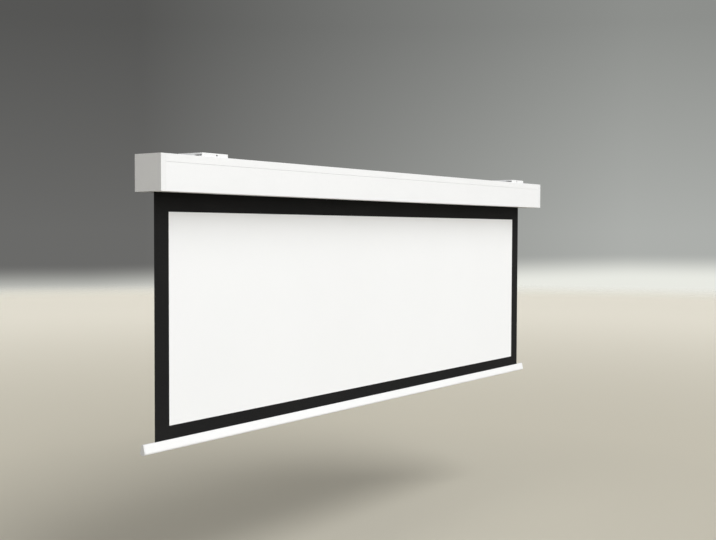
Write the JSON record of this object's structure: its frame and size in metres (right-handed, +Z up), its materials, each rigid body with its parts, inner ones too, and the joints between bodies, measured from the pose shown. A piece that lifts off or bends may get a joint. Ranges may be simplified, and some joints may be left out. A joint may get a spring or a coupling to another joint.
{
  "type": "projection screen",
  "caption": "Motorised roller projection screen: square case on two sliding ceiling brackets, white surface with a black border, and a weighted bottom bar.",
  "frame": {"origin": "on the ceiling plane, midway between the two ceiling brackets and over the middle of the case", "axes": "+X along the case, to the right of someone who faces the screen; -Y out of the viewing surface; +Z up"},
  "size_m": [2.57, 0.1178, 0.949],
  "materials": {
    "white_enamel": "satin powder coat",
    "white_plastic": "fine satin moulding",
    "white_screen": "matt white viewing surface",
    "black_cloth": "matt black coated cloth",
    "bare_aluminium": "mill finish",
    "zinc_steel": "zinc plated",
    "grey_paint": "satin",
    "black_plastic": "fine satin moulding",
    "yellow_plastic": "satin",
    "pale_plastic": "satin"
  },
  "bodies": {
    "case": {"case_body": "white_enamel", "front_cover": "white_enamel", "cable_grommet": "black_plastic", "end_cap_left": "white_plastic", "end_cap_right": "white_plastic", "cap_screw_left_upper": "zinc_steel", "cap_screw_left_lower": "zinc_steel", "cap_screw_right_upper": "zinc_steel", "cap_screw_right_lower": "zinc_steel", "motor_plate": "zinc_steel", "idle_plate": "zinc_steel", "idle_plate_screw_front": "zinc_steel", "idle_plate_screw_rear": "zinc_steel", "motor_plate_screw_front": "zinc_steel", "motor_plate_screw_rear": "zinc_steel", "motor_head": "black_plastic", "motor_clip": "zinc_steel", "motor_tube": "grey_paint", "motor_gearbox": "black_plastic", "idle_pin": "zinc_steel", "idle_pin_nut": "zinc_steel", "black_cloth": "black_cloth", "white_surface": "white_screen"},
    "roller": {"roller_tube": "bare_aluminium", "cloth_strip": "pale_plastic", "wound_cloth": "black_cloth", "crown_ring": "black_plastic", "motor_shaft": "zinc_steel", "drive_wheel": "black_plastic", "idle_plug": "black_plastic", "idle_bearing": "zinc_steel"},
    "bottom_bar": {"bar_profile": "white_enamel", "bar_cap_left": "white_plastic", "bar_cap_right": "white_plastic", "hem_rod": "pale_plastic", "bar_weight": "zinc_steel"},
    "bracket_left": {"ceiling_bracket_left": "white_enamel", "groove_bolt_left_front": "zinc_steel", "groove_bolt_left_rear": "zinc_steel", "groove_nut_left_front": "zinc_steel", "groove_nut_left_rear": "zinc_steel"},
    "bracket_right": {"ceiling_bracket_right": "white_enamel", "groove_bolt_right_front": "zinc_steel", "groove_bolt_right_rear": "zinc_steel", "groove_nut_right_front": "zinc_steel", "groove_nut_right_rear": "zinc_steel"},
    "limit_down": {"limit_screw_down": "pale_plastic"},
    "limit_up": {"limit_screw_up": "yellow_plastic"}
  },
  "joints": [
    {"name": "roller_spin", "type": "hinge", "parent": "case", "child": "roller", "pos_m": [0, 0, -0.07], "axis": [1, 0, 0], "range_deg": [0, 1304]},
    {"name": "screen_lift", "type": "slide", "parent": "case", "child": "bottom_bar", "axis": [0, 0, 1], "range_m": [0, 0.82], "deforming": ["black_cloth", "white_surface"]},
    {"name": "bracket_left_slide", "type": "slide", "parent": "case", "child": "bracket_left", "axis": [1, 0, 0], "range_m": [-0.13, 0.3]},
    {"name": "bracket_right_slide", "type": "slide", "parent": "case", "child": "bracket_right", "axis": [1, 0, 0], "range_m": [-0.3, 0.13]},
    {"name": "limit_down_turn", "type": "hinge", "parent": "case", "child": "limit_down", "pos_m": [1.2461, -0.008, -0.099], "axis": [0, 0, 1], "continuous": true},
    {"name": "limit_up_turn", "type": "hinge", "parent": "case", "child": "limit_up", "pos_m": [1.2461, 0.008, -0.099], "axis": [0, 0, 1], "continuous": true}
  ],
  "couplings": [
    {"joint": "screen_lift", "follows": "roller_spin", "m_per_rad": 0.036}
  ]
}
